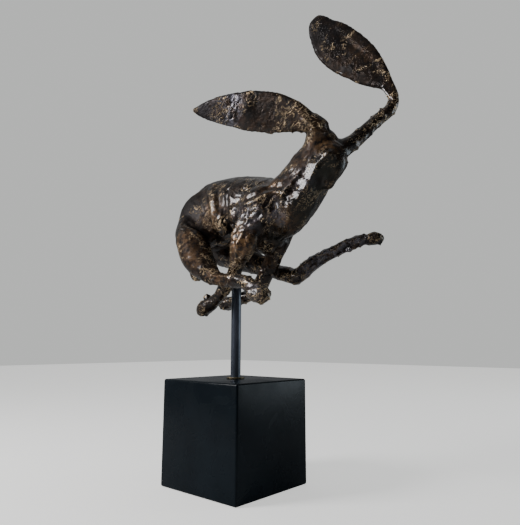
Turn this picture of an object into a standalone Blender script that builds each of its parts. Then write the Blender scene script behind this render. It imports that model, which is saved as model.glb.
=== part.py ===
"""A running hare cast in bronze, held above a black block by a steel rod.

Metres, +Z up. The origin is the middle of the block's underside. The hare runs
towards +X, with its right side towards -Y.
"""

import math

import bmesh
import bpy
from mathutils import Matrix, Vector

# The block
BLOCK_SIDE = 0.100
BLOCK_HEIGHT = 0.100
BLOCK_ARRIS = 0.0012

# The rod, its collar and their sockets
ROD_DIAMETER = 0.010
ROD_SHOWN = 0.140
ROD_IN_BLOCK = 0.040
ROD_IN_HARE = 0.022
ROD_END_CHAMFER = 0.0006
COLLAR_RIM = 0.0037
COLLAR_THICKNESS = 0.0014
SLIDE_GAP = 0.0003

# The hare, laid out in shares: it is HARE_SHARES high from lowest paw to ear tip
HARE_HEIGHT = 0.307
HARE_SHARES = 307.0
SHARE = HARE_HEIGHT / HARE_SHARES
CAST_GRAIN = 0.0011
CAST_SMOOTHING = 9
HARE_TRIANGLES = 9000

# How finely the masses are laid out before they are cast as one
RING_SIDES = 20
RINGS_A_SPAN = 5
CAP_RINGS = 3
ROUND_SIDES = 32
SHARP_ANGLE = math.radians(40)
EAR_SECTION = 3.0

RIGHT = -1
LEFT = 1

UP = Vector((0, 0, 1))
SIDEWAYS = Vector((0, 1, 0))

BRONZE = ((0.060, 0.038, 0.022), 0.32, 1.0)
ROD_BLACK = ((0.012, 0.012, 0.014), 0.45, 0.6)
COLLAR_BRASS = ((0.10, 0.085, 0.055), 0.5, 0.8)
BLOCK_BLACK = ((0.006, 0.008, 0.010), 0.42, 0.0)


def clear_scene():
    for obj in list(bpy.data.objects):
        bpy.data.objects.remove(obj)


def material(name, finish):
    colour, roughness, metallic = finish
    made = bpy.data.materials.new(name)
    made.use_nodes = True
    shader = made.node_tree.nodes["Principled BSDF"]
    shader.inputs["Base Color"].default_value = (*colour, 1.0)
    shader.inputs["Roughness"].default_value = roughness
    shader.inputs["Metallic"].default_value = metallic
    return made


def collection(name):
    made = bpy.data.collections.new(name)
    bpy.context.scene.collection.children.link(made)
    return made


def place(obj, home, finish=None):
    """Puts an object in its collection, with its material."""
    for old in list(obj.users_collection):
        old.objects.unlink(obj)
    home.objects.link(obj)
    if finish:
        obj.data.materials.clear()
        obj.data.materials.append(finish)
    return obj


def cylinder(name, radius, bottom, top, home, finish=None):
    bpy.ops.mesh.primitive_cylinder_add(
        vertices=ROUND_SIDES, radius=radius, depth=top - bottom, location=(0, 0, (bottom + top) / 2)
    )
    obj = bpy.context.object
    obj.name = name
    obj.data.name = name
    obj.data.shade_smooth()
    obj.data.set_sharp_from_angle(angle=SHARP_ANGLE)
    return place(obj, home, finish)


def cut(obj, cutter):
    """Leaves a live Boolean that takes the cutter out of the object."""
    cutter.hide_render = True
    cutter.display_type = "WIRE"
    taken = obj.modifiers.new("cut_" + cutter.name, "BOOLEAN")
    taken.operation = "DIFFERENCE"
    taken.solver = "EXACT"
    taken.object = cutter


def bevel(obj, width, segments=2):
    eased = obj.modifiers.new("eased_edges", "BEVEL")
    eased.width = width
    eased.segments = segments
    eased.limit_method = "ANGLE"
    eased.harden_normals = False


# The lofts that the hare's masses are made of


def smooth_run(stations):
    """Catmull-Rom values between the stations, RINGS_A_SPAN to each span."""
    run = []
    last = len(stations) - 1
    for i in range(last):
        before, start = stations[max(i - 1, 0)], stations[i]
        end, after = stations[i + 1], stations[min(i + 2, last)]
        for step in range(RINGS_A_SPAN):
            t = step / RINGS_A_SPAN
            run.append(
                [
                    0.5
                    * (
                        2 * b
                        + (c - a) * t
                        + (2 * a - 5 * b + 4 * c - d) * t**2
                        + (3 * b - a - 3 * c + d) * t**3
                    )
                    for a, b, c, d in zip(before, start, end, after)
                ]
            )
    run.append(list(stations[last]))
    return run


def add_ring(mesh, centre, across, over, wide, thin, section):
    """An oval ring. A section above 2 fills its corners out towards a slab."""
    ring = []
    for i in range(RING_SIDES):
        angle = 2 * math.pi * i / RING_SIDES
        cos, sin = math.cos(angle), math.sin(angle)
        side = math.copysign(abs(cos) ** (2 / section), cos)
        rise = math.copysign(abs(sin) ** (2 / section), sin)
        ring.append(mesh.verts.new(centre + across * (wide * side) + over * (thin * rise)))
    return ring


def add_loft(mesh, stations, facing, section=2.0):
    """A closed tube through (x, y, z, half width, half thickness), thin towards facing."""
    run = smooth_run(stations)
    centres = [Vector(s[:3]) for s in run]
    ways = []
    for i in range(len(run)):
        ahead, behind = centres[min(i + 1, len(run) - 1)], centres[max(i - 1, 0)]
        ways.append((ahead - behind).normalized())

    rings = []
    for i, (x, y, z, wide, thin) in enumerate(run):
        over = (facing - ways[i] * facing.dot(ways[i])).normalized()
        across = over.cross(ways[i])
        centre = centres[i]
        if i == 0:
            rings += capped(mesh, centre, -ways[i], across, over, wide, thin, section)[::-1]
        rings.append(add_ring(mesh, centre, across, over, wide, thin, section))
        if i == len(run) - 1:
            rings += capped(mesh, centre, ways[i], across, over, wide, thin, section)

    for one, two in zip(rings, rings[1:]):
        for i in range(RING_SIDES):
            j = (i + 1) % RING_SIDES
            mesh.faces.new((one[i], one[j], two[j], two[i]))
    mesh.faces.new(rings[0][::-1])
    mesh.faces.new(rings[-1])


def capped(mesh, centre, outwards, across, over, wide, thin, section):
    """The rings that round off an end, as a half ball would."""
    reach = min(wide, thin)
    rings = []
    for k in range(1, CAP_RINGS + 1):
        angle = k / (CAP_RINGS + 1) * math.pi / 2
        shrink = math.cos(angle)
        rings.append(
            add_ring(
                mesh,
                centre + outwards * (reach * math.sin(angle)),
                across,
                over,
                wide * shrink,
                thin * shrink,
                section,
            )
        )
    return rings


def add_limb(mesh, joints):
    """A round tapering limb through (x, y, z, radius)."""
    add_loft(mesh, [(x, y, z, r, r) for x, y, z, r in joints], SIDEWAYS)


def add_mass(mesh, centre, radii, pitch=0.0, yaw=0.0):
    """An ellipsoid of muscle: pitch tips its front up, and yaw turns it left, in degrees."""
    turned = Matrix.Rotation(math.radians(yaw), 4, "Z") @ Matrix.Rotation(math.radians(-pitch), 4, "Y")
    bmesh.ops.create_uvsphere(
        mesh,
        u_segments=RING_SIDES,
        v_segments=RING_SIDES // 2,
        radius=1.0,
        matrix=Matrix.Translation(centre) @ turned @ Matrix.Diagonal((*radii, 1.0)),
    )


# The hare's own forms, in shares from the mouth of its socket


def trunk(mesh):
    add_loft(
        mesh,
        [
            (-64, 0, 12, 15, 16),
            (-52, 0, 20, 21, 26.5),
            (-33, 0, 31, 26, 37.5),
            (-8, 0, 35, 26, 34),
            (20, 0, 32, 25, 32),
            (44, 0, 26, 23, 30),
            (60, 0, 19, 19, 26),
            (70, 0, 13, 13, 18),
        ],
        UP,
    )


def haunches(mesh):
    for side in (RIGHT, LEFT):
        add_mass(mesh, (-38, side * 15, 26), (31, 15, 31.5), pitch=-28, yaw=side * -8)


def flanks(mesh):
    """The fold of skin before each thigh, and the edge of the ribs ahead of it."""
    for side in (RIGHT, LEFT):
        add_loft(
            mesh,
            [
                (-16, side * 18, 56, 6, 5),
                (-9, side * 22, 42, 7.5, 6),
                (-4, side * 23, 24, 8.5, 6),
                (-1, side * 19, 8, 7, 6),
            ],
            SIDEWAYS,
        )
        add_loft(
            mesh,
            [
                (8, side * 16, 52, 4, 4),
                (13, side * 21, 38, 5, 5),
                (15, side * 20.5, 20, 5, 5),
                (14, side * 16, 8, 4, 4),
            ],
            SIDEWAYS,
        )


def neck(mesh):
    add_loft(
        mesh,
        [
            (38, 0, 22, 22, 29.5),
            (60, 0, 24.5, 23, 30.5),
            (80, 0, 39, 20, 26),
            (95, 0, 57, 17, 22),
            (106, 0, 70, 15, 17),
            (110, 0, 78, 13, 13),
        ],
        UP,
    )
    for side in (RIGHT, LEFT):
        add_loft(
            mesh,
            [
                (70, side * 16, 20, 7, 6),
                (84, side * 15.5, 33, 8, 6),
                (98, side * 12, 46, 8, 6),
                (108, side * 9, 56, 7, 5.5),
                (114, side * 7, 62, 5, 5),
            ],
            SIDEWAYS,
        )


def shoulder_blades(mesh):
    for side in (RIGHT, LEFT):
        add_mass(mesh, (42, side * 17, 22), (26, 12.5, 22), pitch=38)
        add_loft(
            mesh,
            [
                (70, side * 15, 34, 4, 4),
                (56, side * 21.5, 31, 5, 4.5),
                (38, side * 24.5, 28, 6, 5),
                (24, side * 21, 20, 5, 5),
            ],
            SIDEWAYS,
        )


def head(mesh):
    """The head hangs from its crown, with the nose tucked in to the throat."""
    add_loft(
        mesh,
        [
            (113, 2, 68.5, 14, 12.5),
            (118, 2, 61, 14, 13),
            (118, 2, 51, 11, 10.5),
            (115, 1, 42, 8, 7.5),
            (112, 1, 37, 6, 5.5),
        ],
        Vector((1, 0, 0)),
    )
    for side in (RIGHT, LEFT):
        add_mass(mesh, (111, 1 + side * 6.5, 55), (10, 6, 13), pitch=-15)
        add_mass(mesh, (121.5, 1 + side * 9.6, 61), (4.5, 3.4, 4.2), pitch=-10)


def near_ear(mesh):
    add_limb(mesh, [(103, -1, 70, 15), (108, -7, 82, 11), (111.5, -12, 89, 9.4), (104, -18, 95, 8.2)])
    add_loft(
        mesh,
        [
            (103, -19, 94.5, 10.5, 6),
            (93, -25, 100, 15.5, 3.6),
            (77, -31, 106, 19.4, 2.5),
            (53, -39, 112.5, 20, 2.2),
            (36, -45, 116.5, 17, 2.2),
            (20, -51, 119.5, 13.6, 2.1),
            (5, -56, 122, 8.2, 2.0),
            (-6, -59, 125, 2.5, 1.8),
        ],
        Vector((0.23, -0.90, -0.36)),
        EAR_SECTION,
    )


def far_ear(mesh):
    add_limb(
        mesh,
        [
            (112, 4, 62, 11),
            (123.5, 12, 72.5, 8.8),
            (131.5, 22, 82, 7.2),
            (143.5, 34, 98.8, 6.3),
            (155, 44, 112, 5.9),
            (158.5, 46, 122, 5.4),
        ],
    )
    add_loft(
        mesh,
        [
            (158.5, 45.5, 119, 4.6, 5),
            (158, 45, 129, 4.8, 4.2),
            (153.5, 43, 138, 7, 3.2),
            (147.5, 41, 146, 12, 2.6),
            (138.5, 38, 156.5, 17.4, 2.3),
            (129.5, 35, 167.5, 20.7, 2.2),
            (120, 33, 177.5, 22.7, 2.2),
            (108.5, 29, 190, 23, 2.2),
            (100, 26, 201, 20.6, 2.1),
            (93.5, 24, 211, 16, 2.0),
            (89, 22, 220, 12, 1.9),
            (86, 21.5, 225.5, 7.5, 1.8),
        ],
        Vector((0.17, -0.98, -0.11)),
        EAR_SECTION,
    )


def near_hind_leg(mesh):
    add_limb(
        mesh,
        [
            (-50, -22, 20, 13),
            (-44, -27, 8, 15),
            (-34, -30, -7, 16.5),
            (-26, -31, -19, 16.5),
            (-15, -32, -30, 13.5),
            (-3, -33, -39, 9.3),
            (6, -34, -43, 7),
        ],
    )
    add_limb(
        mesh,
        [
            (-4, -33, -40, 8.5),
            (11, -34, -45, 6.4),
            (26, -35, -47, 6.8),
            (44, -36, -50, 6.8),
            (56, -37, -56, 7),
        ],
    )
    add_mass(mesh, (61, -40.5, -61.5), (11.5, 5.8, 8), pitch=-32, yaw=-6)
    add_mass(mesh, (62, -33.5, -60.5), (11.5, 5.8, 8), pitch=-30, yaw=6)


def far_hind_leg(mesh):
    add_limb(
        mesh,
        [
            (-57, 20, 14, 16),
            (-46, 24, 0.5, 18.5),
            (-28, 27, -8, 16.5),
            (-8, 30, -17, 13),
            (12, 32, -25, 9.8),
            (26, 33, -31, 7.8),
            (38, 35, -35, 8.2),
            (47, 36, -38, 8),
        ],
    )
    add_limb(
        mesh,
        [
            (48, 36, -39, 7.8),
            (56, 37, -35, 7.8),
            (65, 38, -28.5, 7.4),
            (80, 40, -21, 6.4),
            (95, 42, -15.5, 6),
            (108, 44, -11, 6),
            (121, 47, -7.5, 5.6),
        ],
    )
    add_mass(mesh, (131, 46.5, -8), (10, 4.2, 6), pitch=6, yaw=4)
    add_mass(mesh, (131, 51.5, -8), (10, 4.2, 6), pitch=6, yaw=14)


def near_foreleg(mesh):
    add_loft(
        mesh,
        [
            (46, -13, 26, 16, 11),
            (41, -16, 17, 18, 12.5),
            (35, -19, 5, 16, 12.5),
            (28, -22, -8, 12.4, 11.5),
            (25, -23, -21, 9.4, 9.2),
            (20, -22, -33, 7.2, 7.2),
            (11, -20, -44, 6.3, 6.3),
            (1, -19, -53, 6.8, 6.8),
        ],
        SIDEWAYS,
    )
    add_limb(mesh, [(3, -19, -50, 7), (-6, -19, -59, 5.6), (-14, -18, -64, 6.2), (-20, -18, -67, 7)])
    add_mass(mesh, (-26, -21.5, -70), (10, 5.2, 7.8), pitch=25)
    add_mass(mesh, (-26, -15, -69), (10, 5, 7.4), pitch=25)
    add_mass(mesh, (-18, -11.5, -59), (5.5, 3.6, 4.5), pitch=25)


def far_foreleg(mesh):
    add_mass(mesh, (39, 3, -1), (22, 16, 16.5), pitch=12)
    add_loft(
        mesh,
        [
            (50, 12, 24, 16, 11),
            (47, 14, 10, 16, 12),
            (43, 15, -5, 12, 11),
            (38, 15, -17, 9, 9.2),
            (31, 17, -27, 8.4, 8.4),
            (24, 18, -36, 8, 8),
            (16, 19, -46, 8, 8),
            (10, 20, -53, 6.6, 6.6),
        ],
        SIDEWAYS,
    )
    add_limb(mesh, [(12, 20, -51, 6), (-1, 20, -56.4, 6), (-14, 20, -58.8, 6), (-26, 20, -61, 6.2)])
    add_mass(mesh, (-34, 17.3, -64), (9, 4, 5.6), pitch=8)
    add_mass(mesh, (-34, 22.7, -64), (9, 4, 5.6), pitch=8)


def tail(mesh):
    add_limb(mesh, [(-66, 3, 6, 9), (-71.5, 5, -8, 8.5), (-71.5, 7, -22, 6.8), (-67, 8, -33, 4)])


def cast_hare(home, finish):
    """Joins the masses, skins them as one casting and thins its facets."""
    mesh = bmesh.new()
    for form in (
        trunk,
        haunches,
        flanks,
        neck,
        shoulder_blades,
        head,
        near_ear,
        far_ear,
        near_hind_leg,
        far_hind_leg,
        near_foreleg,
        far_foreleg,
        tail,
    ):
        form(mesh)
    bmesh.ops.recalc_face_normals(mesh, faces=mesh.faces)
    data = bpy.data.meshes.new("hare")
    mesh.to_mesh(data)
    mesh.free()

    hare = bpy.data.objects.new("hare", data)
    place(hare, home, finish)
    hare.location = (0, 0, BLOCK_HEIGHT + ROD_SHOWN)
    data.transform(Matrix.Scale(SHARE, 4))

    skin = hare.modifiers.new("one_skin", "REMESH")
    skin.mode = "VOXEL"
    skin.voxel_size = CAST_GRAIN
    softened = hare.modifiers.new("softened", "SMOOTH")
    softened.factor = 0.5
    softened.iterations = CAST_SMOOTHING
    facets = skin_facets(hare)
    thinned = hare.modifiers.new("thinned", "DECIMATE")
    thinned.ratio = min(1.0, HARE_TRIANGLES / facets)
    return hare


def skin_facets(obj):
    """How many triangles the object has as its modifiers stand."""
    bpy.context.view_layer.update()
    graph = bpy.context.evaluated_depsgraph_get()
    evaluated = obj.evaluated_get(graph)
    made = evaluated.to_mesh()
    made.calc_loop_triangles()
    count = len(made.loop_triangles)
    evaluated.to_mesh_clear()
    return count


def main():
    clear_scene()
    model = collection("running_hare")
    cutters = collection("cutters")

    belly = BLOCK_HEIGHT + ROD_SHOWN
    rod_foot = BLOCK_HEIGHT - ROD_IN_BLOCK
    rod_head = belly + ROD_IN_HARE
    rod_radius = ROD_DIAMETER / 2

    bpy.ops.mesh.primitive_cube_add(size=1.0, location=(0, 0, BLOCK_HEIGHT / 2))
    block = bpy.context.object
    block.name = "block"
    block.data.name = "block"
    block.scale = (BLOCK_SIDE, BLOCK_SIDE, BLOCK_HEIGHT)
    bpy.ops.object.transform_apply(location=False, rotation=False, scale=True)
    place(block, model, material("block_black", BLOCK_BLACK))
    bevel(block, BLOCK_ARRIS)
    hole = cylinder(
        "block_hole", rod_radius + SLIDE_GAP, rod_foot - SLIDE_GAP, BLOCK_HEIGHT + ROD_IN_BLOCK, cutters
    )
    cut(block, hole)

    rod = cylinder("rod", rod_radius, rod_foot, rod_head, model, material("rod_black", ROD_BLACK))
    bevel(rod, ROD_END_CHAMFER, 1)

    collar_seat = BLOCK_HEIGHT + SLIDE_GAP
    collar = cylinder(
        "rod_collar",
        rod_radius + SLIDE_GAP + COLLAR_RIM,
        collar_seat,
        collar_seat + COLLAR_THICKNESS,
        model,
        material("collar_brass", COLLAR_BRASS),
    )
    collar_hole = cylinder(
        "collar_hole",
        rod_radius + SLIDE_GAP,
        collar_seat - COLLAR_THICKNESS,
        collar_seat + 2 * COLLAR_THICKNESS,
        cutters,
    )
    cut(collar, collar_hole)

    hare = cast_hare(model, material("bronze", BRONZE))
    socket = cylinder(
        "hare_socket", rod_radius + SLIDE_GAP, belly - 2 * ROD_IN_HARE, rod_head + SLIDE_GAP, cutters
    )
    cut(hare, socket)


main()
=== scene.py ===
# %% [markdown]
# # A running hare in cast bronze
# The object is a bronze hare at full run, held above a black painted block by a slim
# steel rod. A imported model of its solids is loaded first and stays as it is, as a fixed
# frame. Each cell below then dresses one piece of it: first how the real piece is made,
# then which of Blender's tools could make it, and why one was chosen.

# %% The fixed frame and its box
import math
from contextlib import contextmanager

import bmesh
import bpy
import numpy as np
from mathutils import Matrix, Vector


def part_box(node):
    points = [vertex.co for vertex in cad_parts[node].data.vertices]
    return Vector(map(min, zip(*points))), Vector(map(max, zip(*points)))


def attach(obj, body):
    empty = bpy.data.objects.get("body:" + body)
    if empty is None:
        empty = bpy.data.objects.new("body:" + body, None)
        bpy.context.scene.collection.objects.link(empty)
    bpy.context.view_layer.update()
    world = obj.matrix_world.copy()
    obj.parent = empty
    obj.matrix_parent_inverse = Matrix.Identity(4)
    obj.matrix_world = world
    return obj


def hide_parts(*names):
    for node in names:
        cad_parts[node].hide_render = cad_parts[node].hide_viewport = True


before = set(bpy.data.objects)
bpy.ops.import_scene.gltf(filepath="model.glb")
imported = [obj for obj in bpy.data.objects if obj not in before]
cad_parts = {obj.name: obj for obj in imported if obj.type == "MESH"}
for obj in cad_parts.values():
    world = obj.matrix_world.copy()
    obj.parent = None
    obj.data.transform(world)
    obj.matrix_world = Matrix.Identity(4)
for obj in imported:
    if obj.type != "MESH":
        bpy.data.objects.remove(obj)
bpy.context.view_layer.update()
MM = 0.001
BLOCK_LOW, BLOCK_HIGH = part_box("block")
ROD_LOW, ROD_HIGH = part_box("rod")
COLLAR_LOW, COLLAR_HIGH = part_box("rod_collar")
HARE_LOW, HARE_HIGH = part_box("hare")
BELLY = Vector((0, 0, 0.240))
print("nodes", sorted(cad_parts))
print("hare from", [round(v, 3) for v in HARE_LOW], "to", [round(v, 3) for v in HARE_HIGH])

# %% [markdown]
# ## The camera
# The picture was taken from low down and close by, so the block's upright edges and the
# standing ear lean a little. A camera matrix is three directions and a place. Writing
# the directions out keeps the small roll that the picture has, which a Track To
# constraint would lose.

# %% Camera
VIEW_FROM = Vector((0.3542, -0.3687, 0.1328))
VIEW_RIGHT = Vector((0.7532, 0.6577, 0.0035))
VIEW_UP = Vector((0.1047, -0.1252, 0.9866))
FRAME_WIDE, FRAME_HIGH = 520, 525
FOCAL_PIXELS = 500.9


def add_camera():
    lens = bpy.data.cameras.new("camera")
    lens.sensor_width = 36.0
    lens.lens = FOCAL_PIXELS * lens.sensor_width / max(FRAME_WIDE, FRAME_HIGH)
    lens.clip_start = 0.01
    camera = bpy.data.objects.new("camera", lens)
    bpy.context.scene.collection.objects.link(camera)
    right = VIEW_RIGHT.normalized()
    back = right.cross(VIEW_UP).normalized()
    up = back.cross(right)
    turned = Matrix((right, up, back)).transposed().to_4x4()
    camera.matrix_world = Matrix.Translation(VIEW_FROM) @ turned
    bpy.context.scene.camera = camera
    return camera


camera = add_camera()
print("lens", round(camera.data.lens, 2), "mm")

# %% [markdown]
# ## Small helpers
# A finished piece's object sits at the origin and its place is in its mesh. Modifiers
# are made plain with new_from_object, which reads the object as the viewport sees it.

# %% Helpers for objects and meshes
WELD = 1e-6


def add_object(name, mesh):
    obj = bpy.data.objects.new(name, mesh)
    bpy.context.scene.collection.objects.link(obj)
    return obj


@contextmanager
def cage_of(mesh):
    """A mesh opened as a bmesh to work on, and written back at the end."""
    cage = bmesh.new()
    cage.from_mesh(mesh)
    yield cage
    cage.to_mesh(mesh)
    cage.free()


def made_plain(obj):
    """Turns what the modifiers show into the object's own mesh."""
    bpy.context.view_layer.update()
    graph = bpy.context.evaluated_depsgraph_get()
    shown = bpy.data.meshes.new_from_object(obj.evaluated_get(graph), depsgraph=graph)
    obj.modifiers.clear()
    old = obj.data
    obj.data = shown
    bpy.data.meshes.remove(old)
    obj.data.name = obj.name
    return obj


def smooth_but_sharp(obj, degrees):
    """Shades smooth, apart from edges that turn by more than some degrees."""
    obj.data.shade_smooth()
    obj.data.set_sharp_from_angle(angle=math.radians(degrees))


def triangles(obj):
    obj.data.calc_loop_triangles()
    return len(obj.data.loop_triangles)


def finished(obj, node, finish):
    """Gives a piece its finish, hangs it on the root body, and hides the node that it stands for.
    """
    obj.data.materials.clear()
    obj.data.materials.append(finish)
    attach(obj, "root")
    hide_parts(node)
    print(obj.name, "stands for", node, "with", triangles(obj), "triangles")


# %% [markdown]
# ## Node groups for the finishes
# Two effects turn up in more than one finish, so each is a node group with its own
# named inputs. `worm_marks` makes the short curling marks that a waxed patina wears into
# where the metal is proud: a noise value passes its middle along thin curling lines, and
# those lines are the marks. `fine_grain` is the small unevenness of paint and cast
# metal. A group only puts out masks and heights. The shaders stay in the materials.

# %% Node helpers
# the colour sockets of a Mix node, which its other kinds share their names with
MIX_SHARE, MIX_A, MIX_B, MIX_RESULT = 0, 6, 7, 2


def add_group(name, **inputs):
    """A group that takes a place and some numbers, and puts out a mask and a height."""
    tree = bpy.data.node_groups.new(name, "ShaderNodeTree")
    face = tree.interface
    face.new_socket("Place", in_out="INPUT", socket_type="NodeSocketVector")
    for label, value in inputs.items():
        label = label.replace("_", " ")
        socket = face.new_socket(label, in_out="INPUT", socket_type="NodeSocketFloat")
        socket.default_value = value
    for label in ("Mask", "Height"):
        face.new_socket(label, in_out="OUTPUT", socket_type="NodeSocketFloat")
    given, out = tree.nodes.new("NodeGroupInput"), tree.nodes.new("NodeGroupOutput")
    return tree, given.outputs, out.inputs


def feed(tree, socket, value):
    """Links a socket to another one, or sets its own value."""
    if hasattr(value, "links"):
        tree.links.new(value, socket)
    else:
        socket.default_value = value


def fed(tree, node, **inputs):
    """Feeds a node's inputs, named with _ for a space."""
    for label, value in inputs.items():
        feed(tree, node.inputs[label.replace("_", " ")], value)
    return node


def new_node(tree, kind, **inputs):
    return fed(tree, tree.nodes.new(kind), **inputs)


def math_node(tree, operation, first, second=None, clamp=False):
    node = tree.nodes.new("ShaderNodeMath")
    node.operation = operation
    node.use_clamp = clamp
    feed(tree, node.inputs[0], first)
    if second is not None:
        feed(tree, node.inputs[1], second)
    return node.outputs[0]


def vector_node(tree, operation, first, second):
    node = tree.nodes.new("ShaderNodeVectorMath")
    node.operation = operation
    feed(tree, node.inputs[0], first)
    feed(tree, node.inputs["Scale" if operation == "SCALE" else 1], second)
    return node


def product(tree, first, second, clamp=False):
    return math_node(tree, "MULTIPLY", first, second, clamp)


def added(tree, first, second, clamp=False):
    return math_node(tree, "ADD", first, second, clamp)


def remap(tree, value, low, high, to_low=0.0, to_high=1.0):
    node = tree.nodes.new("ShaderNodeMapRange")
    node.interpolation_type = "SMOOTHSTEP"
    fed(tree, node, Value=value, From_Min=low, From_Max=high, To_Min=to_low, To_Max=to_high)
    return node.outputs["Result"]


def noise(tree, place, scale, detail, roughness, distortion=0.0):
    node = new_node(tree, "ShaderNodeTexNoise", Vector=place, Scale=scale, Detail=detail)
    return fed(tree, node, Roughness=roughness, Distortion=distortion).outputs["Fac"]


def mixed(tree, share, first, second):
    """A colour between two colours or colour sockets."""
    node = tree.nodes.new("ShaderNodeMix")
    node.data_type = "RGBA"
    feed(tree, node.inputs[MIX_SHARE], share)
    for index, colour in ((MIX_A, first), (MIX_B, second)):
        feed(tree, node.inputs[index], (*colour, 1.0) if isinstance(colour, tuple) else colour)
    return node.outputs[MIX_RESULT]


# %% The two groups
PATCHES_PER_MARK = 0.35
PATCH_SOFTNESS = 0.08
BROAD_PER_GRAIN = 0.06


def make_worm_marks():
    tree, given, out = add_group(
        "worm_marks", Marks_per_metre=220.0, Line_width=0.05, Patchiness=0.5
    )
    place, marks, edge = given["Place"], given["Marks per metre"], given["Patchiness"]
    curls = noise(tree, place, marks, 2.0, 0.5, 1.6)
    off_middle = math_node(tree, "ABSOLUTE", math_node(tree, "SUBTRACT", curls, 0.5))
    line = remap(tree, off_middle, given["Line width"], 0.0)
    patches = noise(tree, place, product(tree, marks, PATCHES_PER_MARK), 3.0, 0.6, 0.4)
    there = remap(tree, patches, edge, added(tree, edge, PATCH_SOFTNESS))
    mask = product(tree, line, there, clamp=True)
    tree.links.new(mask, out["Mask"])
    tree.links.new(added(tree, mask, product(tree, curls, 0.5)), out["Height"])
    return tree


def make_fine_grain():
    tree, given, out = add_group("fine_grain", Grains_per_metre=900.0, Broad_share=0.4)
    place, grains = given["Place"], given["Grains per metre"]
    fine = noise(tree, place, grains, 4.0, 0.6)
    broad = noise(tree, place, product(tree, grains, BROAD_PER_GRAIN), 3.0, 0.5)
    tree.links.new(added(tree, fine, product(tree, broad, given["Broad share"])), out["Height"])
    tree.links.new(remap(tree, broad, 0.35, 0.65), out["Mask"])
    return tree


WORM_MARKS = make_worm_marks()
FINE_GRAIN = make_fine_grain()
print("node groups", [g.name for g in bpy.data.node_groups])

# %% Material helpers


def new_material(name, **values):
    made = bpy.data.materials.new(name)
    made.use_nodes = True
    tree = made.node_tree
    return made, tree, fed(tree, tree.nodes["Principled BSDF"], **values)


def object_place(tree):
    return tree.nodes.new("ShaderNodeTexCoord").outputs["Object"]


def drawn_out(tree, place, way, share):
    """Squeezes places along one way, so that what is made from them is drawn out along it."""
    along_way = vector_node(tree, "DOT_PRODUCT", place, way).outputs["Value"]
    part = vector_node(tree, "SCALE", way, product(tree, along_way, -share))
    return vector_node(tree, "ADD", place, part.outputs["Vector"]).outputs["Vector"]


def use_group(tree, group, place, **values):
    node = tree.nodes.new("ShaderNodeGroup")
    node.node_tree = group
    return fed(tree, node, Place=place, **values)


def attribute(tree, name):
    node = tree.nodes.new("ShaderNodeAttribute")
    node.attribute_name = name
    return node.outputs["Fac"]


def bump(tree, shader, height, distance):
    node = new_node(tree, "ShaderNodeBump", Strength=1.0, Distance=distance, Height=height)
    fed(tree, shader, Normal=node.outputs["Normal"])


# %% [markdown]
# ## The bronze's finish
# A foundry heats the casting, brushes chemicals on until a brown-black crust has grown,
# rubs the high spots back to gold, and waxes it. The crust is no longer metal, so the
# finish is only partly metallic, and the rubbed spots are more so. A clear coat stands
# for the wax. Where each colour lies comes from attributes of the mesh: `worn` and
# `recess` say how proud or sunk a point is, so the rubbing lies where a cloth would
# reach. The warm spots are where the chemicals took differently, and the dull spots are
# where the wax is thin. The other spots paint light and shade into the colour: a near
# black green, partly a greenish patina and partly painted shade on the throat, cheeks
# and undersides; a painted lilac-grey sheen where the window's highlights fall; and
# painted shade that darkens the ears, haunches, back, flank and feet.

# %% Bronze
BRONZE_DARK = (0.0088, 0.0064, 0.0058)
BRONZE_BROWN = (0.040, 0.0225, 0.0135)
BRONZE_WARM = (0.170, 0.094, 0.042)
# a painted sheen: pale lilac grey laid where the window's highlights fall
BRONZE_PAINTED_SHEEN = (0.110, 0.105, 0.124)
# a greenish patina, made near black to paint shade on the throat, cheeks and undersides
BRONZE_GREEN_SHADE = (0.010, 0.012, 0.006)
BRONZE_GOLD = (0.58, 0.43, 0.26)
# most of the tool's strokes run up and forward
STROKE_WAY = (0.80, 0.25, 0.55)
STROKE_DRAW = 0.34
MARKS_PER_M = 190.0
# painted shade also makes the gold marks patchier
PATCHINESS, SHADE_PATCHINESS = 0.495, 0.06
FLECK_GAIN, EDGE_GAIN = 1.6, 0.4
CRUST_METALLIC, GOLD_METALLIC = 0.45, 0.60
ROUGH_FROM, ROUGH_TO = 0.19, 0.32
GOLD_ROUGHER, DULL_ROUGHER = 0.10, 0.32
WAXED_COAT, DULL_COAT = 0.45, 0.02
COAT_ROUGHNESS = 0.09
BRONZE_BUMP = 1.0 * MM


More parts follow.
